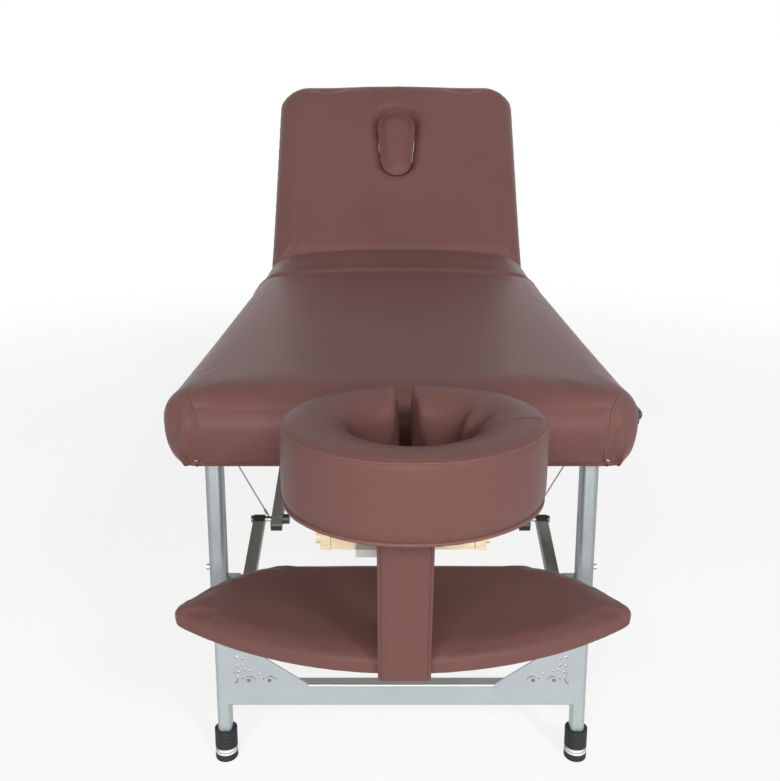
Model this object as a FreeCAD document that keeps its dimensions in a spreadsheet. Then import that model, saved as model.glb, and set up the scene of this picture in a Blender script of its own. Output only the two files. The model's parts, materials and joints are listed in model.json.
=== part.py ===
import FreeCAD, Part
import math
import os
import re

from FreeCAD import Vector, Rotation, Placement

# Folding massage table with a lifting back, a pull-out face cradle and a hanging arm shelf.
# Millimetres, +Z up, floor at Z 0, +Y from the face cradle to the raised back, +X to the right.

doc = FreeCAD.newDocument("massage_table")
dims = doc.addObject("Spreadsheet::Sheet", "dims")

SIZES = {
    "near_end_y": -773.75,      # near end of the top, measured from the origin
    "top_length": 1860,         # both halves of the top, end to end
    "pad_half_width": 375,      # half of the padded top's width at the near end
    "pad_taper": 12,            # the near pad is this much narrower, each side, at the fold
    "top_height": 658,          # crown of the pad above the floor
    "pad_depth": 128,           # crown of the pad down to the bottom of the rails
    "pad_round": 60,            # roll of the pad's top edges and near corners
    "pad_tuck": 20,             # roll of the pad's bottom edges
    "seat_round": 34,           # roll of the seat's far end
    "crown_radius": 5300,       # radius of the pad's crown, side to side
    "fold_gap": 0.5,            # each half stops this far short of the fold line
    "skirt_wall": 24,           # vinyl and foam outside the rails, at the fold
    "rail_wall": 14,
    "rail_height": 72,
    "rail_corner": 18,          # round of the near rails' outer corners
    "deck_wall": 6,
    "end_inset": 20,            # end rail's outer face in from the end of the pad
    "hinge_short": 55,          # piano hinge stops this far inside the rails' outer faces
    "back_angle": 51.4,
    "back_length": 662,         # back hinge to the top end of the back
    "back_inset": 4,            # back narrower than the seat, each side
    "back_corner": 92,
    "back_roll": 38,
    "back_set": 17,             # pads stop this far from the back hinge axis
    "back_board_low": 2,        # board's underside above the hinge axis
    "back_board_wall": 9,
    "back_pad_top": 54,         # pad's face above the hinge axis
    "prop_reach": 250,          # hinge axis to prop pivot, and prop pivot to prop bar
    "prop_slope": 1.5,
    "prop_rod": 10,
    "prop_in": 45,              # prop arms inside the rails' outer faces
    "plug_wide_radius": 57,
    "plug_narrow_radius": 44,
    "plug_pitch": 125,          # between the centres of the plug's two rounds
    "plug_from_top": 167,       # wide round's centre to the top end of the back
    "leg_inset": 55,            # leg hinge in from the end of the pad
    "leg_axis_up": 25,          # leg hinge above the bottom of the rails
    "leg_lean": 6.17,
    "far_leg_in": 47,           # far legs inside the line of the near legs
    "leg_wide": 28,
    "leg_deep": 30,
    "leg_wall": 2,
    "leg_corner": 9,
    "slide_gap": 0.3,
    "leg_bare": 288.234,        # sliding tube and foot below the upper leg
    "inner_leg_top": 75,        # top of the sliding tube below the hinge axis
    "leg_pin": 10,
    "pin_gap": 0.1,
    "bracket_wall": 6,
    "button_up": 59,            # push button above the end of the upper leg
    "button_head": 10,
    "button_proud": 6.5,
    "crossbar_rise": 101.2,     # crossbar's lower face above the ground, along the leg
    "crossbar_tall": 39,
    "crossbar_deep": 24,
    "crossbar_corner": 3,
    "gusset_wide": 132,          # beyond the inner side of the leg
    "gusset_tall": 91,          # above the crossbar
    "gusset_wall": 3,
    "foot_diameter": 38,
    "foot_bush": 31,
    "brace_up": 25,             # brace pivot above the end of the upper leg
    "brace_offset": 21,         # brace pivot off the leg's centre line
    "brace_short": 50,          # brace pivot on the frame, from the fold line
    "strut_deep": 16,
    "strut_wide": 20,
    "brace_pin": 8,
    "strut_clear": 21,          # between a leg and its lower strut
    "knee_gap": 12,             # between a lower strut and its upper strut
    "cable_wire": 3,
    "cradle_rod": 19,
    "cradle_rod_x": 90,
    "cradle_rod_up": 22,        # cradle rods above the bottom of the rails
    "cradle_rod_in": 215,       # rods reach this far past the near end of the top
    "cradle_axis_y": -90,
    "cradle_axis_down": 88,     # tilt axis below the rods
    "block_wall": 24,
    "lug_wall": 15,
    "platform_wall": 12,
    "platform_inset": 38,       # platform's edge inside the cushion's
    "cushion_centre_y": -195,
    "cushion_shift": 12,        # cushion's centre to the right of the table's middle
    "cushion_turn": 5,
    "cushion_half_wide": 172,
    "cushion_half_deep": 145,
    "cushion_rise": 32,         # cushion's top above the pad's crown
    "cushion_edge": 10,
    "cushion_dip": 40,          # roll from the cushion's top down into the opening
    "face_half_wide": 76,
    "face_half_deep": 66,
    "face_gap": 26,
    "shelf_half_wide": 340,
    "shelf_tip_y": -140,
    "shelf_front_y": -262,
    "shelf_rear_y": -2,
    "shelf_rear_half": 200,
    "shelf_drop": 191,          # shelf's top below the platform
    "shelf_wall": 28,
    "shelf_board_wall": 6,
    "strap_wide": 70,
    "strap_wall": 4,
    "latch_in": 70,             # latch and its stud, in from the two ends of the top
    "stud_up": 40,              # latch stud above the bottom of the rails
}
row = 1
for alias, value in SIZES.items():
    dims.set("A%d" % row, alias)
    dims.set("B%d" % row, str(value))
    dims.setAlias("B%d" % row, alias)
    row += 1
doc.recompute()

# Places that follow from the sizes, so that what fits together moves together
FITS = {
    "seat_half_width": "pad_half_width - pad_taper",
    "rail_outer": "seat_half_width - skirt_wall",
    "back_half_width": "seat_half_width - back_inset",
    "back_axis_y": "top_length - back_length",
    "back_axis_z": "top_height - pad_depth + rail_height + deck_wall - 4",
    "prop_arm_x": "rail_outer - prop_in",
    "near_leg_x": "rail_outer - rail_wall - bracket_wall - leg_wide / 2 - 4",
    "far_leg_x": "near_leg_x - far_leg_in",
    "leg_axis_z": "top_height - pad_depth + leg_axis_up",
    "leg_length": "leg_axis_z / cos(leg_lean)",
    "upper_leg_length": "leg_length - leg_bare",
    "button_drop": "upper_leg_length - button_up",
    "brace_drop": "upper_leg_length - brace_up",
    "crossbar_high": "leg_length - crossbar_rise",
    "crossbar_low": "crossbar_high - crossbar_tall",
    "brace_frame_y": "top_length / 2 - brace_short",
    "lower_strut_in": "leg_wide / 2 + strut_wide / 2 + strut_clear",
    "upper_strut_in": "lower_strut_in + strut_wide + knee_gap",
    "cradle_rod_z": "top_height - pad_depth + cradle_rod_up",
    "cradle_axis_z": "cradle_rod_z - cradle_axis_down",
    "block_half_width": "cradle_rod_x + 15",
    "block_low": "cradle_axis_z - 14",
    "block_high": "cradle_rod_z + cradle_rod / 2 + 2.5",
    "platform_low": "block_high + 2",
    "cushion_top": "top_height + cushion_rise",
    "shelf_top": "platform_low - shelf_drop",
}
fits = doc.addObject("App::FeaturePython", "fits")


def ex(text):
    # a formula in the words above, as an expression of the document
    def word(found):
        name = found.group(0)
        if name in SIZES:
            return "dims." + name
        return "fits." + name if name in FITS else name
    return re.sub(r"[a-z][a-z_]+", word, str(text))


for name, rule in FITS.items():
    fits.addProperty("App::PropertyFloat", name)
for name, rule in FITS.items():
    fits.setExpression(name, ex(rule))
doc.recompute()


def val(name):
    if name in FITS:
        return float(fits.getPropertyByName(name))
    return float(dims.get(name))


def bind(obj, prop, text):
    obj.setExpression(prop, ex(text))


def at(obj, x, y, z):
    bind(obj, "Placement.Base.x", x)
    bind(obj, "Placement.Base.y", y)
    bind(obj, "Placement.Base.z", z)
    return obj


def box(name, x0, x1, y0, y1, z0, z1):
    obj = doc.addObject("Part::Box", name)
    bind(obj, "Length", "(%s) - (%s)" % (x1, x0))
    bind(obj, "Width", "(%s) - (%s)" % (y1, y0))
    bind(obj, "Height", "(%s) - (%s)" % (z1, z0))
    return at(obj, x0, y0, z0)


TURNS = {"X": Rotation(Vector(0, 1, 0), 90), "Y": Rotation(Vector(1, 0, 0), -90), "Z": Rotation()}


def tapered(name, y0, y1, half_a, half_b, z0, z1):
    # a block about the middle plane whose half width goes from half_a at y0 to half_b at y1
    obj = doc.addObject("Part::Wedge", name)
    for key, rule in (("Ymin", y0), ("Ymax", y1), ("Xmin", "-" + half_a), ("Xmax", half_a),
                      ("X2min", "-" + half_b),
                      ("X2max", half_b), ("Zmin", z0), ("Zmax", z1), ("Z2min", z0), ("Z2max", z1)):
        bind(obj, key, rule)
    return obj


def rod(name, axis, radius, length, x, y, z):
    # a cylinder that starts at the point given and runs along +axis
    obj = doc.addObject("Part::Cylinder", name)
    obj.Placement = Placement(Vector(), TURNS[axis])
    bind(obj, "Radius", radius)
    bind(obj, "Height", length)
    return at(obj, x, y, z)


def fuse(name, *shapes):
    obj = doc.addObject("Part::MultiFuse", name)
    obj.Shapes = list(shapes)
    obj.Refine = True
    return obj


def cut(name, base, *tools):
    obj = doc.addObject("Part::Cut", name)
    obj.Base = base
    obj.Tool = tools[0] if len(tools) == 1 else fuse(name + "_tools", *tools)
    obj.Refine = True
    return obj


def common(name, base, tool):
    obj = doc.addObject("Part::Common", name)
    obj.Base = base
    obj.Tool = tool
    return obj


def rounded(name, base, radius, wanted):
    # fillets the edges of base for which wanted(midpoint, direction) is true
    doc.recompute()
    picked = []
    for number, edge in enumerate(base.Shape.Edges, 1):
        if edge.Degenerated:
            continue
        mid = edge.valueAt((edge.FirstParameter + edge.LastParameter) / 2)
        line = edge.tangentAt((edge.FirstParameter + edge.LastParameter) / 2)
        if wanted(mid, line):
            picked.append((number, radius, radius))
    obj = doc.addObject("Part::Fillet", name)
    obj.Base = base
    obj.Edges = picked
    return obj


def prism(name, edges, low, tall):
    # a flat outline in the XY plane, given as edges, raised from low by tall
    obj = doc.addObject("Part::Feature", name)
    obj.Shape = Part.Face(Part.Wire(Part.__sortEdges__(edges))).extrude(Vector(0, 0, tall))
    obj.Placement = Placement(Vector(0, 0, low), Rotation())
    return obj


def line(a, b):
    return Part.LineSegment(Vector(*a), Vector(*b)).toShape()


def arc(a, b, c):
    return Part.Arc(Vector(*a), Vector(*b), Vector(*c)).toShape()


def turned(obj, angle, x, y, z):
    # turns a finished piece about X by a formula's angle and stands it at a point
    obj.Placement = Placement(Vector(), Rotation(Vector(1, 0, 0), 1))
    bind(obj, "Placement.Rotation.Angle", angle)
    return at(obj, x, y, z)


nodes = []


def node(label, obj):
    obj.Label = label
    nodes.append(obj)
    return obj


# Levels and stations that several pieces share
LOW = "(top_height - pad_depth)"
DECK = "(top_height - pad_depth + rail_height)"
DECK_TOP = "(top_height - pad_depth + rail_height + deck_wall)"
FOLD_Y = "(near_end_y + top_length / 2)"
FAR_Y = "(near_end_y + top_length)"
RAIL_IN = "(rail_outer - rail_wall)"
LEG_ZERO = {"near": "(near_end_y + leg_inset)", "far": "(near_end_y + top_length - leg_inset)"}
LEAN = {"near": "-leg_lean", "far": "leg_lean"}
INWARD = {"near": 1, "far": -1}
SIDES = (("left", -1), ("right", 1))


def span(sign, a, b):
    # an X interval on the right side, or its mirror on the left
    if sign > 0:
        return a, b
    return "-(%s)" % b, "-(%s)" % a


# Near half: a plywood ring of rails under a deck board, the fold groove cut into its centre rail
def fold_groove(name, sign):
    half = "(rail_outer - hinge_short + 25)"
    leaf = box(name + "_leaf", "-" + half, half, *sorted_y(sign, "24", "0"), LOW, LOW + " + 2")
    knuckle = box(name + "_knuckle", "-" + half, half, *sorted_y(sign, "6", "0"), LOW, LOW + " + 6")
    return leaf, knuckle


def sorted_y(sign, far_off, near_off):
    # a Y interval measured from the fold line into the near (-1) or far (+1) half
    if sign < 0:
        return "%s - (%s)" % (FOLD_Y, far_off), "%s - (%s)" % (FOLD_Y, near_off)
    return "%s + (%s)" % (FOLD_Y, near_off), "%s + (%s)" % (FOLD_Y, far_off)


near_y0 = "near_end_y + end_inset"
near_y1 = FOLD_Y + " - fold_gap"
ring = box("near_ring", "-rail_outer", "rail_outer", near_y0, near_y1, LOW, DECK)
rail_end = val("near_end_y") + val("end_inset")
ring = rounded("near_ring_round", ring, val("rail_corner"),
               lambda mid, way: abs(way.z) > 0.9 and mid.y < rail_end + 1)
well = box("near_well", "-" + RAIL_IN, RAIL_IN, near_y0 + " + rail_wall", near_y1 + " - rail_wall",
           LOW + " - 1", DECK + " + 1")
ports = []
for side, sign in SIDES:
    ports.append(rod("near_port_" + side, "Y", "cradle_rod / 2 + 4", "end_inset + rail_wall + 10",
                     "%d * cradle_rod_x" % sign, "near_end_y - 5", "cradle_rod_z"))
node("near_frame", cut("near_frame", ring, well, *ports, *fold_groove("near_groove", -1)))
node("near_deck", box("near_deck", "-rail_outer", "rail_outer", near_y0, near_y1, DECK, DECK_TOP))

# Near pad and skirt: one rolled and crowned form, split at the deck's top face
block = tapered("near_block", "near_end_y", near_y1, "pad_half_width", "seat_half_width", LOW, "top_height")
fold_edge = val("near_end_y") + val("top_length") / 2 - 1
pad_low = val("top_height") - val("pad_depth") + 1
roll = rounded("near_roll", block, val("pad_round"), lambda mid, way: mid.y < fold_edge and mid.z > pad_low)
roll = rounded("near_tuck", roll, val("pad_tuck"), lambda mid, way: mid.y < fold_edge and mid.z < pad_low)
crown = rod("near_crown", "Y", "crown_radius", "top_length", "0", "near_end_y - 10",
            "top_height - crown_radius")
form = common("near_form", roll, crown)
upper = box("near_upper", "-pad_half_width - 40", "pad_half_width + 40", "near_end_y - 10", FOLD_Y,
            DECK_TOP, "top_height + 10")
node("near_pad", common("near_pad", form, upper))
inner = box("near_inner", "-rail_outer", "rail_outer", near_y0, FOLD_Y, LOW + " - 1", DECK_TOP + " + 1")
above = box("near_above", "-pad_half_width - 40", "pad_half_width + 40", "near_end_y - 10", FOLD_Y,
            DECK_TOP, "top_height + 10")
holes = []
for side, sign in SIDES:
    holes.append(rod("near_hole_" + side, "Y", "cradle_rod / 2 + 4", "end_inset + 20",
                     "%d * cradle_rod_x" % sign, "near_end_y - 5", "cradle_rod_z"))
node("near_skirt", cut("near_skirt", form, inner, above, *holes))

# Far half: the same ring, open on top past the seat, with ledges that carry the prop bar
far_y0 = FOLD_Y + " + fold_gap"
far_y1 = FAR_Y + " - end_inset"
BACK_Y = "(near_end_y + back_axis_y)"
seat_y1 = BACK_Y + " - back_set"
ring = box("far_ring", "-rail_outer", "rail_outer", far_y0, far_y1, LOW, DECK)
well = box("far_well", "-" + RAIL_IN, RAIL_IN, far_y0 + " + rail_wall", far_y1 + " - rail_wall",
           LOW + " - 1", DECK + " + 1")
open_ring = cut("far_open_ring", ring, well, *fold_groove("far_groove", 1))
ledges = []
for side, sign in SIDES:
    x0, x1 = span(sign, RAIL_IN + " - 14", RAIL_IN + " + 2")
    low_ledge = "back_axis_z - 500 * tan(prop_slope) - prop_rod / 2 - 16"
    ledge = box("ledge_" + side, x0, x1, BACK_Y + " + 200", BACK_Y + " + 560", low_ledge, DECK)
    low_rest = "-prop_rod / 2 - 0.3"
    rest = fuse("ledge_rest_" + side, box("ledge_space_" + side, "-40", "40", "-10", "400", low_rest, "60"),
                box("ledge_space_far_" + side, "-40", "40", "390", "800", low_rest, "60"))
    turned(rest, "-prop_slope", x0 + " + 8", BACK_Y, "back_axis_z")
    notch_set = []
    for number in range(5):
        notch = rod("ledge_notch_%s_%d" % (side, number), "X", "prop_rod / 2 + 1", "80", "-40", "0", "0")
        angle = "(back_angle - %g)" % (number * 12)
        reach = "(2 * prop_reach * cos(%s))" % angle
        at(notch, x0 + " - 30", BACK_Y + " + %s * cos(prop_slope)" % reach,
           "back_axis_z - %s * sin(prop_slope) - 3" % reach)
        notch_set.append(notch)
    ledges.append(cut("ledge_cut_" + side, ledge, rest, *notch_set))
node("far_frame", fuse("far_frame", open_ring, *ledges))
seat_board = box("seat_board", "-rail_outer", "rail_outer", far_y0, seat_y1, DECK, DECK_TOP)
seat_rib = box("seat_rib", "-" + RAIL_IN, RAIL_IN, seat_y1 + " - 40", seat_y1, DECK + " - 12", DECK)
parts = [seat_board, seat_rib]
for side, sign in SIDES:
    for number, (a, b) in enumerate((("rail_outer - 164", "rail_outer - 151"),
                                     ("rail_outer - 69", "rail_outer - 56"))):
        x0, x1 = span(sign, a, b)
        parts.append(rod("seat_barrel_%s_%d" % (side, number), "X", "6", "13", x0, BACK_Y, "back_axis_z"))
        parts.append(box("seat_arm_%s_%d" % (side, number), x0, x1, seat_y1 + " - 6", BACK_Y,
                         "back_axis_z - 6",
                         "back_axis_z"))
    x0, x1 = span(sign, "rail_outer - 164", "rail_outer - 56")
    parts.append(rod("seat_pin_" + side, "X", "3", "108", x0, BACK_Y, "back_axis_z"))
node("far_deck", fuse("far_deck", *parts))

# Seat pad and its skirt at the sides
block = box("seat_block", "-seat_half_width", "seat_half_width", far_y0, seat_y1, LOW, "top_height")
seat_edge = val("near_end_y") + val("back_axis_y") - val("back_set") - 1
roll = rounded("seat_roll", block, val("pad_round"), lambda mid, way: abs(way.y) > 0.9 and mid.z > pad_low)
roll = rounded("seat_end", roll, val("seat_round"), lambda mid, way: mid.y > seat_edge and mid.z > pad_low)
roll = rounded("seat_tuck", roll, val("pad_tuck"), lambda mid, way: abs(way.y) > 0.9 and mid.z < pad_low)
crown = rod("seat_crown", "Y", "crown_radius", "top_length", "0", FOLD_Y + " - 10",
            "top_height - crown_radius")
form = common("seat_form", roll, crown)
upper = box("seat_upper", "-pad_half_width", "pad_half_width", FOLD_Y, FAR_Y, DECK_TOP, "top_height + 10")
node("seat_pad", common("seat_pad", form, upper))
for side, sign in SIDES:
    half = box("seat_side_" + side, *span(sign, "rail_outer", "pad_half_width"), FOLD_Y, FAR_Y,
               LOW + " - 1", DECK_TOP)
    node("seat_skirt_" + side, common("seat_skirt_" + side, form, half))

# Piano hinge on the fold line: two leaves let into the rails, knuckles in turn, a pin through them
FOLD_Z = "(%s - fold_gap)" % LOW
HINGE = "(rail_outer - hinge_short)"
for half, sign, first in (("near", -1, 0), ("far", 1, 1)):
    pieces = [box(half + "_leaf_plate", "-" + HINGE, HINGE, *sorted_y(sign, "23", "5"), LOW,
                  LOW + " + 1.8")]
    for number in range(first, 11, 2):
        x0 = "%d / 11 * %s + 0.3" % (2 * number - 11, HINGE)
        wide = "2 / 11 * %s - 0.6" % HINGE
        pieces.append(rod("%s_knuckle_%d" % (half, number), "X", "4", wide, x0, FOLD_Y, FOLD_Z))
        pieces.append(box("%s_bridge_%d" % (half, number), x0, "%s + %s" % (x0, wide),
                          *sorted_y(sign, "6", "1"),
                          LOW, LOW + " + 1.8"))
    if half == "near":
        pieces.append(rod("fold_pin", "X", "1.5", "2 * %s - 0.6" % HINGE, "0.3 - " + HINGE, FOLD_Y, FOLD_Z))
        node("near_hinge_leaf", fuse("near_hinge_leaf", *pieces))
    else:
        leaf = fuse("far_leaf", *pieces)
        node("far_hinge_leaf", cut("far_hinge_leaf", leaf,
                                   rod("fold_bore", "X", "1.7", "2 * rail_outer", "-rail_outer", FOLD_Y,
                                       FOLD_Z)))

# Brace geometry, from the leg hinge: B on the leg, F on the frame, the two struts in line when open
B_IN = "(brace_offset * cos(leg_lean) - brace_drop * sin(leg_lean))"
B_UP = "(-brace_drop * cos(leg_lean) - brace_offset * sin(leg_lean))"
F_IN = "(brace_frame_y - leg_inset)"
RISE = "(brace_offset - %s)" % B_UP
RUN = "(%s - %s)" % (F_IN, B_IN)
OPEN = "sqrt(%s ^ 2 + %s ^ 2)" % (RUN, RISE)
SHUT = "(%s - brace_drop)" % F_IN
LOWER = "((%s - %s) / 2)" % (OPEN, SHUT)
UPPER = "((%s + %s) / 2)" % (OPEN, SHUT)
PITCH = "atan(%s / %s)" % (RISE, RUN)


def inward(half, a, b):
    # a Y interval towards the fold line, in a frame whose zero is a leg's hinge
    if half == "near":
        return a, b
    return "-(%s)" % b, "-(%s)" % a


def upright(mid, way):
    return abs(way.z) > 0.9


inner_corner = val("leg_corner") - val("leg_wall") - val("slide_gap")

# The steel rod on which both upper struts of a half turn
for half in ("near", "far"):
    frame_y = "near_end_y + brace_frame_y" if half == "near" else FAR_Y + " - brace_frame_y"
    node(half + "_brace_rod", rod(half + "_brace_rod", "X", "brace_pin / 2", "2 * " + RAIL_IN,
                                  "-" + RAIL_IN, frame_y, "leg_axis_z + brace_offset"))

for half in ("near", "far"):
    leg_x = half + "_leg_x"
    zero = LEG_ZERO[half]
    way = INWARD[half]
    outer = "(%s + leg_wide / 2)" % leg_x

    # Leg bracket: a steel plate on the end rail with the hinge pin and the cable eye
    for side, sign in SIDES:
        name = "%s_leg_bracket_%s" % (half, side)
        y0, y1 = inward(half, "end_inset + rail_wall - leg_inset", "40")
        plate = box(name + "_plate", *span(sign, outer + " + 1", outer + " + 1 + bracket_wall"),
                    "%s + %s" % (zero, y0), "%s + %s" % (zero, y1), "leg_axis_z - 18", DECK)
        y0, y1 = inward(half, "end_inset + rail_wall - leg_inset", "end_inset + rail_wall - leg_inset + 4")
        flange_in = outer + " - 8" if half == "near" else outer + " + 1"
        flange_low = DECK + " - 26" if half == "near" else "leg_axis_z - 18"
        flange = box(name + "_flange", *span(sign, flange_in,
                                             outer + (" + 7" if half == "near" else " + 40")),
                     "%s + %s" % (zero, y0), "%s + %s" % (zero, y1), flange_low, DECK)
        x0, x1 = span(sign, "%s - leg_wide / 2 - 5" % leg_x, outer + " + 2")
        pin = rod(name + "_pin", "X", "leg_pin / 2", "leg_wide + 7", x0, zero, "leg_axis_z")
        x0, x1 = span(sign, "%s - leg_wide / 2 - 5" % leg_x, "%s - leg_wide / 2 - 1" % leg_x)
        head = rod(name + "_head", "X", "leg_pin / 2 + 3", "4", x0, zero, "leg_axis_z")
        y0, y1 = inward(half, "26", "38")
        eye = box(name + "_eye", *span(sign, outer + " - 13", outer + " + 2"),
                  "%s + %s" % (zero, y0), "%s + %s" % (zero, y1), "leg_axis_z + 27", "leg_axis_z + 39")
        node(name, fuse(name, plate, flange, pin, head, eye))

    # Upper leg: the outer tube with its hinge head, the brace lug and pin, and the button's hole
    for side, sign in SIDES:
        name = "%s_leg_upper_%s" % (half, side)
        x0, x1 = span(sign, "%s - leg_wide / 2" % leg_x, outer)
        tube = box(name + "_tube", x0, x1, "-leg_deep / 2", "leg_deep / 2", "-upper_leg_length", "0")
        tube = rounded(name + "_tube_round", tube, val("leg_corner"), upright)
        round_head = rod(name + "_round", "X", "leg_deep / 2", "leg_wide", x0, "0", "0")
        y0, y1 = inward(half, "leg_deep / 2 - 1", "brace_offset + strut_deep / 2")
        lug_x = span(sign, "%s - lower_strut_in + strut_wide / 2 + 5" % leg_x, "%s + 10" % leg_x)
        lug = box(name + "_lug", *lug_x, y0, y1, "-brace_drop - 10", "-brace_drop + 10")
        pin_y = "%d * brace_offset" % way
        x0, x1 = span(sign, "%s - lower_strut_in - strut_wide / 2 - 1" % leg_x, leg_x)
        pin = rod(name + "_pin", "X", "brace_pin / 2", "lower_strut_in + strut_wide / 2 + 1", x0, pin_y,
                  "-brace_drop")
        x0, x1 = span(sign, "%s - lower_strut_in - strut_wide / 2 - 4" % leg_x,
                      "%s - lower_strut_in - strut_wide / 2 - 1" % leg_x)
        cap = rod(name + "_cap", "X", "brace_pin / 2 + 2.5", "3", x0, pin_y, "-brace_drop")
        whole = fuse(name + "_whole", tube, round_head, lug, pin, cap)
        x0, x1 = span(sign, "%s - leg_wide / 2 + leg_wall" % leg_x, outer + " - leg_wall")
        hollow = box(name + "_hollow", x0, x1, "-leg_deep / 2 + leg_wall", "leg_deep / 2 - leg_wall",
                     "-upper_leg_length - 5", "-leg_deep / 2 - 5")
        hollow = rounded(name + "_hollow_round", hollow, val("leg_corner") - val("leg_wall"), upright)
        x0, x1 = span(sign, "%s - leg_wide" % leg_x, "%s + leg_wide" % leg_x)
        bore = rod(name + "_bore", "X", "leg_pin / 2 + pin_gap", "2 * leg_wide", x0, "0", "0")
        x0, x1 = span(sign, leg_x, "%s + leg_wide" % leg_x)
        hole = rod(name + "_hole", "X", "button_head / 2 + pin_gap", "leg_wide", x0, "0", "-button_drop")
        node(name, turned(cut(name, whole, hollow, bore, hole), LEAN[half], "0", zero, "leg_axis_z"))

        # Push button in the outer tube's wall
        name = "%s_leg_button_%s" % (half, side)
        x0, x1 = span(sign, outer + " - leg_wall", outer + " + button_proud - 1")
        stem = rod(name + "_stem", "X", "button_head / 2", "leg_wall + button_proud - 1", x0, "0",
                   "-button_drop")
        x0, x1 = span(sign, outer + " + button_proud - 2", outer + " + button_proud")
        crown = rod(name + "_crown", "X", "button_head / 2 - 1", "2", x0, "0", "-button_drop")
        node(name, turned(fuse(name + "_piece", stem, crown), LEAN[half], "0", zero, "leg_axis_z"))

    # Lower leg: two sliding tubes welded to a crossbar, with pierced gussets in the corners
    pieces = []
    tools = []
    for side, sign in SIDES:
        name = "%s_leg_lower_%s" % (half, side)
        slim = "(leg_wide / 2 - leg_wall - slide_gap)"
        deep = "(leg_deep / 2 - leg_wall - slide_gap)"
        x0, x1 = span(sign, "%s - %s" % (leg_x, slim), "%s + %s" % (leg_x, slim))
        tube = box(name + "_tube", x0, x1, "-" + deep, deep, "-leg_length + 22", "-inner_leg_top")
        pieces.append(rounded(name + "_tube_round", tube, inner_corner, upright))
        x0, x1 = span(sign, "%s - %s + leg_wall" % (leg_x, slim), "%s + %s - leg_wall" % (leg_x, slim))
        hollow = box(name + "_hollow", x0, x1, "-%s + leg_wall" % deep, deep + " - leg_wall",
                     "-leg_length + 24", "-inner_leg_top + 5")
        tools.append(rounded(name + "_hollow_round", hollow, inner_corner - val("leg_wall"), upright))
        x0, x1 = span(sign, leg_x, "%s + leg_wide" % leg_x)
        tools.append(box(name + "_slot", x0, x1, "-button_head / 2 - 0.5", "button_head / 2 + 0.5",
                         "-button_drop - 40", "-inner_leg_top + 5"))
        # Gusset: a plate lapped on the outer faces of tube and crossbar, pierced with dots and curved slots
        wide = val("gusset_wide")
        tall = val("gusset_tall")
        inner = sign * (val(leg_x) - val("leg_wide") / 2 + val("leg_wall") + val("slide_gap"))
        edge = sign * (val(leg_x) + 5)
        toe = inner - sign * wide
        low = -val("crossbar_low") - 8
        corners = [(edge, low), (toe, low), (toe, low + 10), (inner, low + 8 + tall),
                   (edge, low + 8 + tall)]
        corners = [Vector(x, z, 0) for x, z in corners]
        plate = Part.Face(Part.makePolygon(corners + corners[:1])).extrude(Vector(0, 0, val("gusset_wall")))
        for across, up, dot in ((33, 9, 3.5), (68, 9, 3.5), (14, 36, 2.2), (23, 38, 2.2), (27, 29, 2.2),
                                (36, 27, 2.2),
                                (51, 21, 2.2), (16, 25, 2.2), (14, 52, 2.8), (24, 49, 2.2)):
            spot = Vector(inner - sign * across, low + 8 + up, -5)
            plate = plate.cut(Part.makeCylinder(dot, 20, spot))
        for across, up, start in ((33, 4, 35), (68, 4, 35), (2, 14, -50 if sign < 0 else 130)):
            spot = Vector(inner - sign * across, low + 8 + up, -5)
            ring = Part.makeCylinder(14, 20, spot, Vector(0, 0, 1), 110)
            ring = ring.cut(Part.makeCylinder(12, 20, spot))
            ring.rotate(spot, Vector(0, 0, 1), start)
            plate = plate.cut(ring)
        gusset = doc.addObject("Part::Feature", name + "_gusset")
        gusset.Shape = plate
        face_y = -way * (val("crossbar_deep") / 2 - 0.5) + (val("gusset_wall") if way < 0 else 0)
        gusset.Placement = Placement(Vector(0, face_y, 0), Rotation(Vector(1, 0, 0), 90))
        pieces.append(gusset)
    bar = box(half + "_crossbar", "-" + leg_x, leg_x, "-crossbar_deep / 2", "crossbar_deep / 2",
              "-crossbar_high", "-crossbar_low")
    pieces.append(rounded(half + "_crossbar_round", bar, val("crossbar_corner"),
                          lambda mid, way: abs(way.x) > 0.9))
    name = half + "_leg_lower"
    node(name, turned(cut(name, fuse(name + "_whole", *pieces), *tools), LEAN[half], "0", zero,
                      "leg_axis_z"))

    # Feet: a rubber cup over the tube, a pale bush and a tread that stands flat on the floor
    for side, sign in SIDES:
        name = "%s_foot_%s" % (half, side)
        ground = "-leg_length"
        x = "%d * %s" % (sign, leg_x)
        cup = rod(name + "_cup", "Z", "foot_diameter / 2", "33", x, "0", ground + " + 20")
        bush = rod(name + "_bush", "Z", "foot_bush / 2", "9", x, "0", ground + " + 12")
        tread = rod(name + "_tread", "Z", "foot_diameter / 2", "33", x, "0", ground + " - 20")
        x0, x1 = span(sign, "%s - %s" % (leg_x, slim), "%s + %s" % (leg_x, slim))
        pocket = box(name + "_pocket", x0, x1, "-" + deep, deep, ground + " + 22", ground + " + 80")
        raw = turned(cut(name + "_raw", fuse(name + "_whole", cup, bush, tread), pocket), LEAN[half], "0",
                     zero, "leg_axis_z")
        floor = box(name + "_floor", "-500", "500", zero + " - 300", zero + " + 300", "-60", "0")
        node(name, cut(name, raw, floor))

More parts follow.
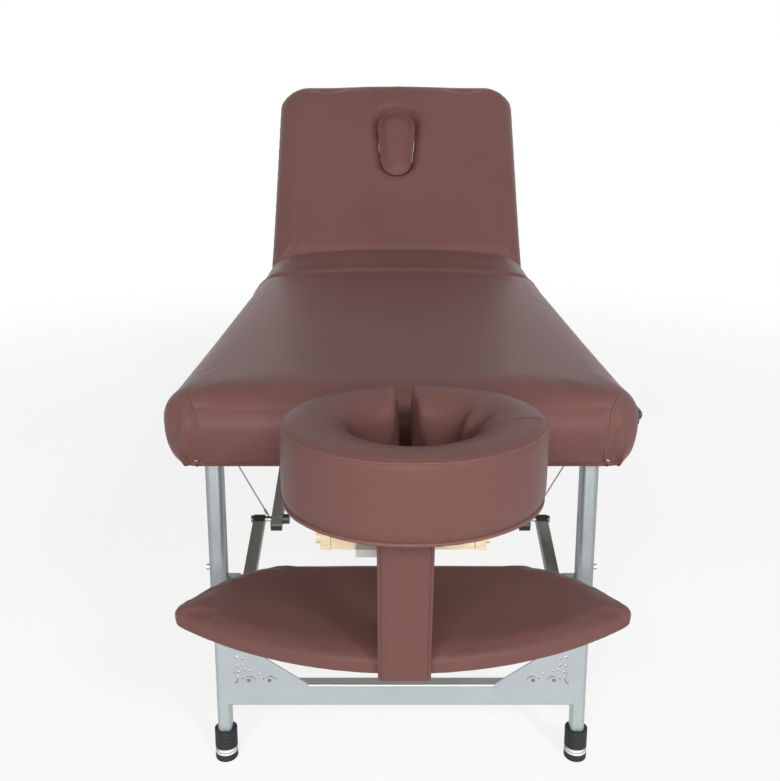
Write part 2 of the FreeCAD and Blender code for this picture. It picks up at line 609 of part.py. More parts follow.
    # Braces: a lower strut on the leg, an upper strut on the frame rod, in line when open
    for side, sign in SIDES:
        name = "%s_strut_lower_%s" % (half, side)
        mid = "(%s - lower_strut_in)" % leg_x
        x0, x1 = span(sign, mid + " - strut_wide / 2", mid + " + strut_wide / 2")
        y0, y1 = inward(half, "0", LOWER)
        bar = box(name + "_bar", x0, x1, y0, y1, "-strut_deep / 2", "strut_deep / 2")
        end_a = rod(name + "_end_a", "X", "strut_deep / 2", "strut_wide", x0, "0", "0")
        end_b = rod(name + "_end_b", "X", "strut_deep / 2", "strut_wide", x0, "%d * %s" % (way, LOWER), "0")
        s0, s1 = span(sign, mid + " - strut_wide / 2 - knee_gap + 1", mid)
        spacer = rod(name + "_spacer", "X", "5", "strut_wide / 2 + knee_gap - 1", s0,
                     "%d * %s" % (way, LOWER), "0")
        h0, h1 = span(sign, mid, mid + " + strut_wide / 2 + 5")
        bolt = rod(name + "_bolt", "X", "6.5", "strut_wide / 2 + 5", h0, "%d * %s" % (way, LOWER), "0")
        eye = rod(name + "_eye", "X", "brace_pin / 2 + pin_gap", "60", "%d * %s - 30" % (sign, mid), "0",
                  "0")
        piece = cut(name, fuse(name + "_whole", bar, end_a, end_b, spacer, bolt), eye)
        node(name, turned(piece, "%d * %s" % (way, PITCH), "0", "%s + %d * %s" % (zero, way, B_IN),
                          "leg_axis_z + %s" % B_UP))

        name = "%s_strut_upper_%s" % (half, side)
        mid = "(%s - upper_strut_in)" % leg_x
        x0, x1 = span(sign, mid + " - strut_wide / 2", mid + " + strut_wide / 2")
        y0, y1 = inward(half, "-%s - 22" % UPPER, "0")
        bar = box(name + "_bar", x0, x1, y0, y1, "-strut_deep / 2", "strut_deep / 2")
        end_a = rod(name + "_end_a", "X", "strut_deep / 2", "strut_wide", x0, "0", "0")
        k0, k1 = span(sign, mid + " - strut_wide / 2 - 12", mid)
        knob = rod(name + "_knob", "X", "9", "strut_wide / 2 + 12", k0, "%d * -%s" % (way, UPPER), "0")
        eye = rod(name + "_eye", "X", "brace_pin / 2 + pin_gap", "60", "%d * %s - 30" % (sign, mid), "0",
                  "0")
        frame_y = "near_end_y + brace_frame_y" if half == "near" else FAR_Y + " - brace_frame_y"
        piece = cut(name, fuse(name + "_whole", bar, end_a, knob), eye)
        node(name, turned(piece, "%d * %s" % (way, PITCH), "0", frame_y, "leg_axis_z + brace_offset"))

# Steel cables from the knee of each brace up to the eye on the leg bracket
lean = math.radians(val("leg_lean"))
b_in = val("brace_offset") * math.cos(lean) - val("brace_drop") * math.sin(lean)
b_up = -val("brace_drop") * math.cos(lean) - val("brace_offset") * math.sin(lean)
run = val("brace_frame_y") - val("leg_inset") - b_in
rise = val("brace_offset") - b_up
shut = val("brace_frame_y") - val("leg_inset") - val("brace_drop")
lower = (math.hypot(run, rise) - shut) / 2
knee_in = b_in + lower * run / math.hypot(run, rise)
knee_up = b_up + lower * rise / math.hypot(run, rise)
for half in ("near", "far"):
    way = INWARD[half]
    zero = val("near_end_y") + val("leg_inset")
    if half == "far":
        zero = val("near_end_y") + val("top_length") - val("leg_inset")
    for side, sign in SIDES:
        knee_x = val(half + "_leg_x") - val("lower_strut_in") - val("strut_wide") / 2 - 6
        low_end = Vector(sign * knee_x, zero + way * (knee_in - 2), val("leg_axis_z") + knee_up + 5)
        eye_x = val(half + "_leg_x") + val("leg_wide") / 2 - 7
        high_end = Vector(sign * eye_x, zero + way * 32, val("leg_axis_z") + 27)
        reach = high_end - low_end
        cable = doc.addObject("Part::Feature", "%s_cable_%s" % (half, side))
        cable.Shape = Part.makeCylinder(val("cable_wire") / 2, reach.Length, Vector(0, 0, 0), reach)
        cable.Placement = Placement(low_end, Rotation())
        node("%s_cable_%s" % (half, side), cable)


# Lifting back, built flat about its hinge axis and then raised
def egg(grow):
    # the breath opening's outline in the back's own plane, grown all round
    wide = val("plug_wide_radius") + grow
    narrow = val("plug_narrow_radius") + grow
    y_wide = val("back_length") - val("plug_from_top")
    y_narrow = y_wide - val("plug_pitch")
    n_y = (narrow - wide) / val("plug_pitch")
    n_x = math.sqrt(1 - n_y * n_y)
    a = (wide * n_x, y_wide + wide * n_y, 0)
    b = (-wide * n_x, y_wide + wide * n_y, 0)
    c = (-narrow * n_x, y_narrow + narrow * n_y, 0)
    d = (narrow * n_x, y_narrow + narrow * n_y, 0)
    return [arc(a, (0, y_wide + wide, 0), b), line(b, c), arc(c, (0, y_narrow - narrow, 0), d), line(d, a)]


BACK_AT = ("back_angle", "0", BACK_Y, "back_axis_z")
top_end = val("back_length")
block = box("back_block", "-back_half_width", "back_half_width", "back_set", "back_length",
            "back_board_low + back_board_wall", "back_pad_top")
corners = rounded("back_corners", block, val("back_corner"),
                  lambda mid, way: abs(way.z) > 0.9 and mid.y > top_end - 1)
face = val("back_pad_top")
pad = rounded("back_rolled", corners, val("back_roll"), lambda mid, way: mid.z > face - 0.5)
opening = prism("back_opening", egg(0.8), -20, 120)
node("back_pad", turned(cut("back_pad", pad, opening), *BACK_AT))

slab = box("back_slab", "-back_half_width + 18", "back_half_width - 18", "back_set", "back_length - 16",
           "back_board_low", "back_board_low + back_board_wall")
slab = rounded("back_slab_round", slab, val("back_corner") - 14,
               lambda mid, way: abs(way.z) > 0.9 and mid.y > top_end - 18)
extras = []
for side, sign in SIDES:
    x0, x1 = span(sign, "rail_outer - 150", "rail_outer - 70")
    extras.append(rod("back_barrel_" + side, "X", "6", "80", x0, "0", "0"))
    extras.append(box("back_arm_" + side, x0, x1, "0", "back_set + 14", "-2", "back_board_low + 1"))
    x0, x1 = span(sign, "prop_arm_x - 18", "prop_arm_x - 6")
    extras.append(box("prop_lug_" + side, x0, x1, "prop_reach - 9", "prop_reach + 9", "-13",
                      "back_board_low + 1"))
holes = [prism("board_opening", egg(0.8), -20, 120)]
holes.append(rod("barrel_bore", "X", "3.2", "700", "-350", "0", "0"))
holes.append(rod("lug_bore", "X", "prop_rod / 2 + pin_gap", "700", "-350", "prop_reach * cos(prop_slope)",
                 "-prop_reach * sin(prop_slope)"))
node("back_board", turned(cut("back_board", fuse("back_board_whole", slab, *extras), *holes), *BACK_AT))

plug = prism("plug_body", egg(0), val("back_board_low"), val("back_pad_top") - val("back_board_low") - 3)
plug_face = val("back_pad_top") - 3
plug = rounded("plug_round", plug, 9, lambda mid, way: mid.z > plug_face - 0.5)
node("breath_plug", turned(plug, *BACK_AT))

# Prop: a bail of round bar that turns under the board and rests on the ledges
# Its arms are drawn a little thinner than its bar
PROP_Y = "%s + prop_reach * cos(back_angle - prop_slope)" % BACK_Y
PROP_Z = "back_axis_z + prop_reach * sin(back_angle - prop_slope)"
parts = [rod("prop_bar", "X", "prop_rod / 2", "2 * (%s - 2)" % RAIL_IN, "-(%s - 2)" % RAIL_IN, "prop_reach",
             "0")]
for side, sign in SIDES:
    parts.append(rod("prop_arm_" + side, "Y", "prop_rod / 2 - 0.4", "prop_reach", "%d * prop_arm_x" % sign,
                     "0", "0"))
    x0, x1 = span(sign, "prop_arm_x - 19", "prop_arm_x + prop_rod / 2")
    parts.append(rod("prop_stub_" + side, "X", "prop_rod / 2", "19 + prop_rod / 2", x0, "0", "0"))
node("prop_bail", turned(fuse("prop_bail", *parts), "-back_angle - prop_slope", "0", PROP_Y, PROP_Z))

# Face cradle: sockets in the end rail, rods with a cross block, and a tilting platform with lugs
AXIS_Y = "(near_end_y + cradle_axis_y)"
for side, sign in SIDES:
    name = "cradle_socket_" + side
    x = "%d * cradle_rod_x" % sign
    sleeve = rod(name + "_sleeve", "Y", "cradle_rod / 2 + 4", "43", x, "near_end_y - 3", "cradle_rod_z")
    flange = rod(name + "_flange", "Y", "cradle_rod / 2 + 9", "3", x, "near_end_y - 3", "cradle_rod_z")
    bore = rod(name + "_bore", "Y", "cradle_rod / 2 + pin_gap", "80", x, "near_end_y - 20", "cradle_rod_z")
    node(name, cut(name, fuse(name + "_whole", sleeve, flange), bore))

parts = [box("cradle_block", "-block_half_width", "block_half_width", AXIS_Y + " - block_wall / 2",
             AXIS_Y + " + block_wall / 2", "block_low", "block_high")]
for side, sign in SIDES:
    x = "%d * cradle_rod_x" % sign
    parts.append(rod("cradle_rod_" + side, "Y", "cradle_rod / 2", "cradle_rod_in - cradle_axis_y", x,
                     AXIS_Y, "cradle_rod_z"))
    parts.append(rod("cradle_stop_" + side, "Y", "cradle_rod / 2 + 3", "10", x,
                     "near_end_y + cradle_rod_in - 10",
                     "cradle_rod_z"))
    x0, x1 = span(sign, "block_half_width - 5", "block_half_width + lug_wall + 2")
    parts.append(rod("cradle_bolt_" + side, "X", "5", "lug_wall + 7", x0, AXIS_Y, "cradle_axis_z"))
    x0, x1 = span(sign, "block_half_width + lug_wall + 1", "block_half_width + lug_wall + 7")
    parts.append(rod("cradle_head_" + side, "X", "9", "6", x0, AXIS_Y, "cradle_axis_z"))
node("cradle_slide", fuse("cradle_slide", *parts))


def oval(half_wide, half_deep):
    if half_wide >= half_deep:
        return Part.Ellipse(Vector(0, 0, 0), half_wide, half_deep).toShape()
    return Part.Ellipse(Vector(0, half_deep, 0), Vector(half_wide, 0, 0), Vector(0, 0, 0)).toShape()


inset = val("platform_inset")
plate = prism("platform_plate", [oval(val("cushion_half_wide") - inset, val("cushion_half_deep") - inset)],
              0,
              val("platform_wall"))
at(plate, "0", "near_end_y + cushion_centre_y", "platform_low")
parts = [plate,
         box("platform_batten", "-(block_half_width + lug_wall + 0.5)", "block_half_width + lug_wall + 0.5",
             AXIS_Y + " - 16", AXIS_Y + " + 14", "platform_low", "platform_low + platform_wall"),
         box("platform_tongue", "-strap_wide / 2 - 5", "strap_wide / 2 + 5", AXIS_Y + " + 10",
             AXIS_Y + " + 32",
             "platform_low", "platform_low + platform_wall")]
for side, sign in SIDES:
    x0, x1 = span(sign, "block_half_width + 0.5", "block_half_width + lug_wall + 0.5")
    parts.append(box("platform_lug_" + side, x0, x1, AXIS_Y + " - 14", AXIS_Y + " + 14", "block_low",
                     "platform_low + 2"))
face_hole = prism("platform_hole", [oval(val("face_half_wide") - 4, val("face_half_deep") - 4)], -40, 120)
at(face_hole, "0", "near_end_y + cushion_centre_y", "platform_low - 40")
pivot = rod("platform_pivot", "X", "5 + pin_gap", "400", "-200", AXIS_Y, "cradle_axis_z")
node("cradle_platform", cut("cradle_platform", fuse("platform_whole", *parts), face_hole, pivot))

# Face cushion: a thick ring with rolled edges, open at the back by a narrow gap
ring = doc.addObject("Part::Feature", "cushion_ring")
tall = val("cushion_top") - val("platform_low") - val("platform_wall")
outside = Part.Face(Part.Wire([oval(val("cushion_half_wide"), val("cushion_half_deep"))]))
inside = Part.Face(Part.Wire([oval(val("face_half_wide"), val("face_half_deep"))]))
ring.Shape = outside.cut(inside).extrude(Vector(0, 0, tall))
half_way = (val("face_half_wide") + val("cushion_half_deep")) / 2
rolled = rounded("cushion_rolled", ring, val("cushion_edge"),
                 lambda mid, way: abs(way.z) < 0.1 and math.hypot(mid.x, mid.y) > half_way)
dipped = rounded("cushion_dipped", rolled, val("cushion_dip"),
                 lambda mid, way: mid.z > tall - 1 and abs(way.z) < 0.1 and math.hypot(mid.x, mid.y) < half_way)
gap = box("cushion_gap", "-face_gap / 2", "face_gap / 2", "0", "400", "-10", "300")
cushion = cut("cradle_cushion", dipped, gap)
cushion.Placement = Placement(Vector(), Rotation(Vector(0, 0, 1), 1))
bind(cushion, "Placement.Rotation.Angle", "cushion_turn")
node("cradle_cushion", at(cushion, "cushion_shift", "near_end_y + cushion_centre_y",
                          "platform_low + platform_wall"))

# Cam lever on the front of the cross block
LEVER_Y = "(%s - block_wall / 2 - 8)" % AXIS_Y
cam = rod("lever_cam", "X", "7.5", "32", "-68", LEVER_Y, "cradle_axis_z - 3")
bar = box("lever_bar", "-68", "-36", LEVER_Y + " - 24", LEVER_Y, "cradle_axis_z - 9", "cradle_axis_z + 3")
node("cradle_lever", fuse("cradle_lever", cam, bar))

# Arm shelf: a padded lens on a small board, hung from the platform by a front and a rear strap
half_wide = val("shelf_half_wide")
zero = val("near_end_y")
tip = (half_wide, zero + val("shelf_tip_y"), 0)
tip_left = (-half_wide, zero + val("shelf_tip_y"), 0)
rear = (val("shelf_rear_half"), zero + val("shelf_rear_y"), 0)
rear_left = (-val("shelf_rear_half"), zero + val("shelf_rear_y"), 0)
bulge_x = (half_wide + val("shelf_rear_half")) / 2 + 14
bulge_y = zero + (val("shelf_tip_y") + val("shelf_rear_y")) / 2 + 17
lens = prism("shelf_lens", [line(rear_left, rear), arc(rear, (bulge_x, bulge_y, 0), tip),
                            arc(tip, (0, zero + val("shelf_front_y"), 0), tip_left),
                            arc(tip_left, (-bulge_x, bulge_y, 0), rear_left)],
             val("shelf_top") - val("shelf_wall"), val("shelf_wall"))
blunt = rounded("shelf_blunt", lens, 22, lambda mid, way: abs(way.z) > 0.9)
shelf = rounded("shelf_rolled", blunt, 10, lambda mid, way: abs(way.z) < 0.1)
node("arm_shelf", shelf)
SHELF_LOW = "(shelf_top - shelf_wall)"
node("shelf_board", box("shelf_board", "-190", "190", "near_end_y + shelf_front_y + 70",
                        "near_end_y + shelf_rear_y - 16",
                        SHELF_LOW + " - shelf_board_wall", SHELF_LOW))


def ribbon(name, corners):
    # a strap of constant width, from a section in the YZ plane
    points = [Vector(0, val("near_end_y") + y, z) for y, z in corners]
    section = Part.Face(Part.makePolygon(points + points[:1]))
    obj = doc.addObject("Part::Feature", name)
    obj.Shape = section.extrude(Vector(val("strap_wide"), 0, 0))
    obj.Placement = Placement(Vector(-val("strap_wide") / 2, 0, 0), Rotation())
    return obj


low = val("shelf_top") - val("shelf_wall") - val("shelf_board_wall")
front = val("shelf_front_y")
hem_y = front - 36
hem_z = val("platform_low") - 2.3
wall = val("strap_wall")
under = val("shelf_top") - val("shelf_wall")
band = ribbon("front_band", [(hem_y - wall / 2, hem_z), (hem_y + wall / 2, hem_z),
                             (front, val("shelf_top") - 8),
                             (front, under), (front + 58, under), (front + 58, under - wall),
                             (front - wall, under - wall), (front - wall, val("shelf_top") - 8)])
hem = rod("front_hem", "X", "strap_wall / 2", "strap_wide", "-strap_wide / 2", "near_end_y + %g" % hem_y,
          "%g" % hem_z)
node("front_strap", fuse("front_strap", band, hem))
rear_y = val("shelf_rear_y")
rear_top = val("cradle_axis_y") + 24
node("rear_strap", ribbon("rear_strap", [(rear_top, val("platform_low")),
                                         (rear_top + wall, val("platform_low")),
                                         (rear_y + 1 + wall, val("shelf_top") - 8),
                                         (rear_y + 1 + wall, low - wall),
                                         (rear_y - 60, low - wall), (rear_y - 60, low), (rear_y + 1, low),
                                         (rear_y + 1, val("shelf_top") - 8)]))

# Side latch: a hook along the near half's side, and the far half's stud that it drops over when shut
LATCH_X = "(pad_half_width - pad_taper * latch_in / (top_length / 2 - fold_gap) + 0.15)"
LATCH_Z = "(%s - 4)" % DECK
STUD_Z = "(%s + stud_up)" % LOW
LATCH_REACH = "(%s + %s - 2 * %s)" % (LATCH_Z, STUD_Z, FOLD_Z)
latch_y = "near_end_y + latch_in"
base = box("latch_base_plate", LATCH_X, LATCH_X + " + 3", latch_y + " - 11", latch_y + " + 11",
           LATCH_Z + " - 12", LATCH_Z + " + 10")
post = rod("latch_post", "X", "3", "7.5", LATCH_X + " + 1", latch_y, LATCH_Z)
head = rod("latch_head", "X", "4.5", "2", LATCH_X + " + 7", latch_y, LATCH_Z)
node("latch_base", fuse("latch_base", base, post, head))
disc = rod("latch_disc", "X", "8", "3.4", LATCH_X + " + 3.3", latch_y, LATCH_Z)
arm = box("latch_arm", LATCH_X + " + 3.3", LATCH_X + " + 6.7", latch_y,
          "%s + %s + 9" % (latch_y, LATCH_REACH),
          LATCH_Z + " - 7.5", LATCH_Z + " + 7.5")
notch = box("latch_notch", LATCH_X, LATCH_X + " + 9", "%s + %s - 3.5" % (latch_y, LATCH_REACH),
            "%s + %s + 3.5" % (latch_y, LATCH_REACH), LATCH_Z + " - 8", LATCH_Z + " + 3.5")
eye = rod("latch_eye", "X", "3 + pin_gap", "20", LATCH_X + " - 5", latch_y, LATCH_Z)
node("latch_hook", cut("latch_hook", fuse("latch_hook_whole", disc, arm), notch, eye))
stud_y = FAR_Y + " - latch_in"
stud_post = rod("latch_stud_post", "X", "5", LATCH_X + " + 2.8 - rail_outer", "rail_outer", stud_y, STUD_Z)
stud_foot = rod("latch_stud_foot", "X", "10", "4", "rail_outer", stud_y, STUD_Z)
stud_neck = rod("latch_stud_neck", "X", "3", "6", LATCH_X + " + 2", stud_y, STUD_Z)
stud_head = rod("latch_stud_head", "X", "6.5", "1.8", LATCH_X + " + 7.2", stud_y, STUD_Z)
node("latch_stud", fuse("latch_stud_piece", stud_post, stud_foot, stud_neck, stud_head))

doc.recompute()
for obj in doc.Objects:
    if "Invalid" in obj.State or "Error" in obj.State:
        raise RuntimeError("%s failed: %s" % (obj.Label, obj.State))
for obj in nodes:
    if obj.Shape.isNull() or not obj.Shape.isValid():
        raise RuntimeError("%s has no valid shape" % obj.Label)
    if len(obj.Shape.Solids) != 1:
        raise RuntimeError("%s has %d solids" % (obj.Label, len(obj.Shape.Solids)))
os.makedirs("parts", exist_ok=True)
for obj in nodes:
    obj.Shape.exportStep("parts/%s.step" % obj.Label)
print(len(nodes), "parts")
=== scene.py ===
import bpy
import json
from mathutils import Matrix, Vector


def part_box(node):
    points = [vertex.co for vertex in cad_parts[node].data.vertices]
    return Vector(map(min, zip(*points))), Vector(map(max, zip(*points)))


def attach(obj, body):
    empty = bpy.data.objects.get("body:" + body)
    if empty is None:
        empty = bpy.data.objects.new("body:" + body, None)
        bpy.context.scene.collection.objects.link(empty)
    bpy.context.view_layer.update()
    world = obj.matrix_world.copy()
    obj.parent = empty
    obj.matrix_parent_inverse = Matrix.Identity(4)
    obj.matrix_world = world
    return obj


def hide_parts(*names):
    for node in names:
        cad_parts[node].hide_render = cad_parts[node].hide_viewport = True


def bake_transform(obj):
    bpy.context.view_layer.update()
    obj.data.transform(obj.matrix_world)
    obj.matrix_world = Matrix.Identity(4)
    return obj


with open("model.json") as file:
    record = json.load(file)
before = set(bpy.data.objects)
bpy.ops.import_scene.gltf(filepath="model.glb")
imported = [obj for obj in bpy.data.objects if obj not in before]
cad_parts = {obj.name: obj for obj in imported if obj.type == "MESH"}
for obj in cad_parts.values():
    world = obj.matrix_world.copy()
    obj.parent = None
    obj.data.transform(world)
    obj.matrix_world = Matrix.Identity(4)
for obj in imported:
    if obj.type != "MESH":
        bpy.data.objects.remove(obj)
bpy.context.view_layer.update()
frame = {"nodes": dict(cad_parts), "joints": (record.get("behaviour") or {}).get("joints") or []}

import json
import math

import bmesh
import bpy
import numpy as np
from mathutils import Matrix, Vector
from mathutils.bvhtree import BVHTree

# Studio: a pale floor that runs out of view, a white surround and three soft lamps behind the camera.
# The table is seen from beyond its face cradle, from a little above, along its middle line.
scene = bpy.context.scene
scene.view_settings.view_transform = "Standard"
near_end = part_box("near_skirt")[0].y

eye = bpy.data.cameras.new("photo_view")
eye.lens = 39.17
eye.sensor_width = 36
camera = bpy.data.objects.new("photo_view", eye)
camera.location = (-0.019, near_end - 1.2107, 1.0544)
camera.rotation_euler = (math.radians(72.0), 0, 0)
scene.collection.objects.link(camera)
scene.camera = camera


def softbox(name, place, target, size, watts):
    lamp = bpy.data.lights.new(name, "AREA")
    lamp.shape = "RECTANGLE"
    lamp.size = size[0]
    lamp.size_y = size[1]
    lamp.energy = watts
    stand = bpy.data.objects.new(name, lamp)
    stand.location = place
    stand.rotation_euler = (Vector(target) - Vector(place)).to_track_quat("-Z", "Y").to_euler()
    scene.collection.objects.link(stand)


softbox("right_light", (4.75, near_end - 6.75, 6.3), (0, near_end, 0.5), size=(1.8, 1.8), watts=460)
softbox("left_light", (-3.15, near_end - 7.65, 6.3), (0, near_end, 0.5), size=(1.8, 1.8), watts=300)
softbox("front_light", (0, near_end - 8.8, 2.6), (0, near_end, 0.6), size=(4.4, 2.6), watts=550)


class Grain:
    """A shader socket that takes part in sums."""

    def __init__(self, tree, socket):
        self.tree = tree
        self.socket = socket

    def node(self, kind, settings=None, inputs=None, out=0):
        made = self.tree.nodes.new(kind)
        for key, value in (settings or {}).items():
            setattr(made, key, value)
        for key, value in (inputs or {}).items():
            if isinstance(value, Grain):
                self.tree.links.new(value.socket, made.inputs[key])
            else:
                made.inputs[key].default_value = value
        return Grain(self.tree, made.outputs[out])

    def calc(self, operation, a, b=0.0):
        return self.node("ShaderNodeMath", {"operation": operation}, {0: a, 1: b})

    def __add__(self, other):
        return self.calc("ADD", self, other)

    def __sub__(self, other):
        return self.calc("SUBTRACT", self, other)

    def __mul__(self, other):
        return self.calc("MULTIPLY", self, other)

    def __rsub__(self, other):
        return self.calc("SUBTRACT", other, self)

    __radd__ = __add__
    __rmul__ = __mul__

    def size(self):
        return self.calc("ABSOLUTE", self)

    def most(self, other):
        return self.calc("MAXIMUM", self, other)

    def band(self, low, high):
        # 0 below low, 1 above high, smooth between
        return self.node("ShaderNodeMapRange", {"interpolation_type": "SMOOTHSTEP"},
                         {"Value": self, "From Min": low, "From Max": high})

    def mix(self, a, b):
        # colour a where this is 0, colour b where it is 1
        return self.node("ShaderNodeMix", {"data_type": "RGBA"}, {0: self, 6: a, 7: b}, 2)

    def axis(self, number):
        return self.node("ShaderNodeSeparateXYZ", {}, {"Vector": self}, number)

    def noise(self, scale, detail=3.0, stretch=None):
        where = self
        if stretch:
            where = self.node("ShaderNodeMapping", {}, {"Vector": self, "Scale": stretch})
        return self.node("ShaderNodeTexNoise", {}, {"Vector": where, "Scale": scale, "Detail": detail})


def rgba(colour):
    return (*colour, 1.0)


floor_mesh = bpy.data.meshes.new("floor")
floor_mesh.from_pydata([(-14, -12, 0), (14, -12, 0), (14, 16, 0), (-14, 16, 0)], [], [(0, 1, 2, 3)])
floor = bpy.data.objects.new("floor", floor_mesh)
scene.collection.objects.link(floor)
paper = bpy.data.materials.new("studio_paper")
paper.use_nodes = True
paper.node_tree.nodes.remove(paper.node_tree.nodes["Principled BSDF"])


def in_view(tree):
    # 1 for what the camera sees, straight or in a mirror or glass
    path = tree.nodes.new("ShaderNodeLightPath")
    straight = Grain(tree, path.outputs["Is Camera Ray"])
    mirrored = Grain(tree, path.outputs["Is Glossy Ray"])
    through = Grain(tree, path.outputs["Is Transmission Ray"])
    return straight.most(mirrored).most(through)


seen = in_view(paper.node_tree)
away = Grain(paper.node_tree, paper.node_tree.nodes.new("ShaderNodeTexCoord").outputs["Object"])
away = away.node("ShaderNodeVectorMath", {"operation": "LENGTH"}, {0: away}, 1).band(1.2, 4.0)
matt = seen.node("ShaderNodeBsdfDiffuse", {}, {"Color": rgba((0.90, 0.90, 0.90))})
glow = seen.node("ShaderNodeEmission", {}, {"Color": rgba((1, 1, 1)), "Strength": 1.0})
sheet = seen.node("ShaderNodeMixShader", {}, {0: seen * (0.80 + away * 0.20), 1: matt, 2: glow})
seen.tree.links.new(sheet.socket, seen.tree.nodes["Material Output"].inputs["Surface"])
floor_mesh.materials.append(paper)

world = bpy.data.worlds.new("studio")
scene.world = world
world.use_nodes = True
seen = in_view(world.node_tree)
seen.tree.links.new((seen * 0.78 + 0.22).socket, seen.tree.nodes["Background"].inputs["Strength"])
world.node_tree.nodes["Background"].inputs["Color"].default_value = rgba((1, 1, 1))


def finish(name, colour, roughness, metallic=0.0, specular=0.5):
    # a Principled surface with its plain values, and the place on the piece to vary them by
    material = bpy.data.materials.new(name)
    material.use_nodes = True
    tree = material.node_tree
    shader = tree.nodes["Principled BSDF"]
    shader.inputs["Base Color"].default_value = rgba(colour)
    shader.inputs["Roughness"].default_value = roughness
    shader.inputs["Metallic"].default_value = metallic
    shader.inputs["Specular IOR Level"].default_value = specular
    place = Grain(tree, tree.nodes.new("ShaderNodeTexCoord").outputs["Object"])
    return material, shader, place


def feed(shader, socket, grain):
    grain.tree.links.new(grain.socket, shader.inputs[socket])


def emboss(shader, height, depth):
    bump = height.node("ShaderNodeBump", {}, {"Strength": 1.0, "Distance": depth, "Height": height})
    feed(shader, "Normal", bump)


def dress(piece, *materials):
    piece.data.materials.clear()
    for material in materials:
        piece.data.materials.append(material)


# Near half of the top: foam on a plywood deck under one sheet of brown vinyl.
# The vinyl is drawn down over the rails, tucked under them, and sewn in a dart near each corner.
def vinyl(name, low=(0.112, 0.048, 0.042), high=(0.150, 0.067, 0.060), gloss=0.32):
    material, shader, place = finish(name, high, gloss, specular=0.13)
    cloudy = place.noise(3.0, 2.0)
    fine = place.noise(900.0, 2.0)
    pores = place.node("ShaderNodeTexVoronoi", {"feature": "F1"}, {"Vector": place, "Scale": 760.0})
    creases_and_crease_shade = place.node("ShaderNodeTexVoronoi", {"feature": "DISTANCE_TO_EDGE"},
                         {"Vector": place, "Scale": 520.0})
    # painted shade: the grain's creases are painted darker, besides the random cloudy and fine tone
    tone = cloudy * 0.45 + fine * 0.30 + creases_and_crease_shade.band(0.0, 0.09) * 0.25
    feed(shader, "Base Color", tone.band(0.25, 0.80).mix(rgba(low), rgba(high)))
    feed(shader, "Roughness", gloss - 0.08 + cloudy * 0.08 + fine * 0.08)
    emboss(shader, pores * -0.35 + creases_and_crease_shade.band(0.0, 0.10) * 0.55 + fine * 0.15, 0.00035)
    return material


top_vinyl = vinyl("top_vinyl")


def settle(piece, kind, **settings):
    # one modifier, worked out and kept
    modifier = piece.modifiers.new(kind.lower(), kind)
    for key, value in settings.items():
        setattr(modifier, key, value)
    made = bpy.data.meshes.new_from_object(piece.evaluated_get(bpy.context.evaluated_depsgraph_get()))
    piece.modifiers.clear()
    plain = piece.data
    piece.data = made
    bpy.data.meshes.remove(plain)


def points(piece):
    flat = np.empty(len(piece.data.vertices) * 3)
    piece.data.vertices.foreach_get("co", flat)
    return flat.reshape(-1, 3)


def move(piece, places):
    piece.data.vertices.foreach_set("co", np.ascontiguousarray(places).ravel())
    piece.data.update()


def upholster(name, body, nodes, voxel, swell, held, ease):
    # foam under vinyl: the pad's own solid, filled out by pressure where it isn't held
    shell = bmesh.new()
    for node in nodes:
        shell.from_mesh(frame["nodes"][node].data)
    mesh = bpy.data.meshes.new(name)
    shell.to_mesh(mesh)
    shell.free()
    piece = bpy.data.objects.new(name, mesh)
    scene.collection.objects.link(piece)
    settle(piece, "REMESH", mode="VOXEL", voxel_size=voxel)
    settle(piece, "SMOOTH", factor=0.5, iterations=ease)
    rest = points(piece)
    fixed = held(rest)
    group = piece.vertex_groups.new(name="held")
    group.add([int(i) for i in np.nonzero(fixed)[0]], 1.0, "REPLACE")
    cloth = piece.modifiers.new("swell", "CLOTH")
    cloth.settings.quality = 3
    cloth.settings.use_pressure = True
    cloth.settings.uniform_pressure_force = 4.0
    cloth.settings.vertex_group_mass = "held"
    cloth.settings.effector_weights.gravity = 0
    cloth.point_cache.frame_start = 1
    cloth.point_cache.frame_end = 20
    for step in range(1, 21):
        scene.frame_set(step)
    filled = piece.evaluated_get(bpy.context.evaluated_depsgraph_get()).to_mesh()
    flat = np.empty(len(filled.vertices) * 3)
    filled.vertices.foreach_get("co", flat)
    shift = flat.reshape(-1, 3) - rest
    piece.modifiers.clear()
    scene.frame_set(1)
    length = np.linalg.norm(shift, axis=1, keepdims=True)
    shift *= np.minimum(1.0, swell / np.maximum(length, 1e-9))
    shift[fixed] = 0
    move(piece, rest + shift)
    settle(piece, "SMOOTH", factor=0.4, iterations=4)
    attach(piece, body)
    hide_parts(*nodes)
    dress(piece, top_vinyl)
    piece.data.polygons.foreach_set("use_smooth", [True] * len(piece.data.polygons))
    return piece


def ramp(value, low, high):
    share = np.clip((value - low) / (high - low), 0, 1)
    return share * share * (3 - 2 * share)


fold_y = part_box("near_pad")[1].y
rail_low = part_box("near_frame")[0].z
rail_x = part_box("near_frame")[1].x
rail_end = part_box("near_frame")[0].y
deck_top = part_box("near_deck")[1].z


def on_frame(p):
    # what lies on the deck and the rails, and the tuck under them
    slack = 0.003
    between = (np.abs(p[:, 0]) < rail_x + slack) & (p[:, 1] > rail_end - slack)
    return (between & (p[:, 2] < deck_top + slack)) | (p[:, 2] < rail_low + 0.007)


def tuck(p):
    # draws the lower edge back down to the bottom of the rails, and a little past it at the near end
    hem = rail_low + 0.0003 - 0.0033 * (1 - ramp(p[:, 1], near_end + 0.10, near_end + 0.25))
    p[:, 2] -= (p[:, 2].min() - hem) * (1 - ramp(p[:, 2], rail_low + 0.012, rail_low + 0.050))


def fill_out(p):
    # the sides stand out a little past their foam; the right one less, behind the latch
    proud = np.where(p[:, 0] < 0, -0.008, 0.005)
    p[:, 0] += proud * ramp(np.abs(p[:, 0]), rail_x + 0.006, rail_x + 0.028)


